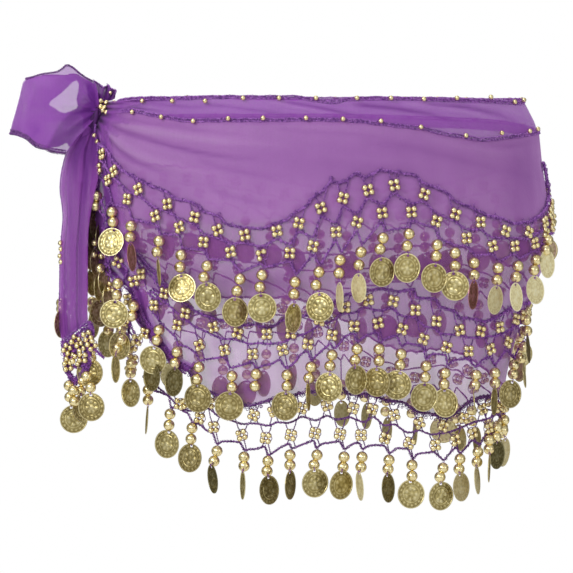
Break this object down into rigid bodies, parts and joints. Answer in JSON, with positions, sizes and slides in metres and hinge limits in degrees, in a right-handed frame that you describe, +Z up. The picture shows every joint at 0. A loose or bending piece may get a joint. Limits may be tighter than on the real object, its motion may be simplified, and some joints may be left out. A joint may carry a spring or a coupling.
{
  "type": "belly dance hip scarf",
  "caption": "Chiffon hip wrap worn round the hips and knotted at one side, with a half bow, a hanging tail and three wavy beaded nets fringed with beads and coins.",
  "frame": {"origin": "middle of the wearer's hips at the height of the knot, where the wrap is held", "axes": "+Z up; the front faces -Y; the knot, bow and tail are at -X, which is the left of the front view"},
  "size_m": [0.4407, 0.2513, 0.3469],
  "materials": {
    "chiffon": "sheer violet chiffon, plain weave, soft matte",
    "crochet": "deep violet crochet yarn with small gilt beads",
    "gilt": "pale gilt beads and thin embossed coins, bright"
  },
  "bodies": {
    "root": {"front_panel": "chiffon", "back_panel": "chiffon", "upper_lap_front": "chiffon", "upper_lap_back": "chiffon", "top_edge_front": "crochet", "top_edge_back": "crochet", "second_edge_front": "crochet", "second_edge_back": "crochet", "tier1_net_front": "crochet", "tier1_net_back": "crochet", "tier2_net_front": "crochet", "tier2_net_back": "crochet", "tier3_net_front": "crochet", "tier3_net_back": "crochet", "tier1_coin_fringe_front": "gilt", "tier1_coin_fringe_back": "gilt", "tier2_coin_fringe_front": "gilt", "tier2_coin_fringe_back": "gilt", "tier3_coin_fringe_front": "gilt", "tier3_coin_fringe_back": "gilt", "gathered_net": "crochet", "gathered_coin_fringe": "gilt", "knot": "chiffon", "knot_ruffle": "chiffon", "bow_loop": "chiffon", "tail": "chiffon", "tail_net": "crochet", "tail_coin_fringe": "gilt"}
  },
  "joints": []
}
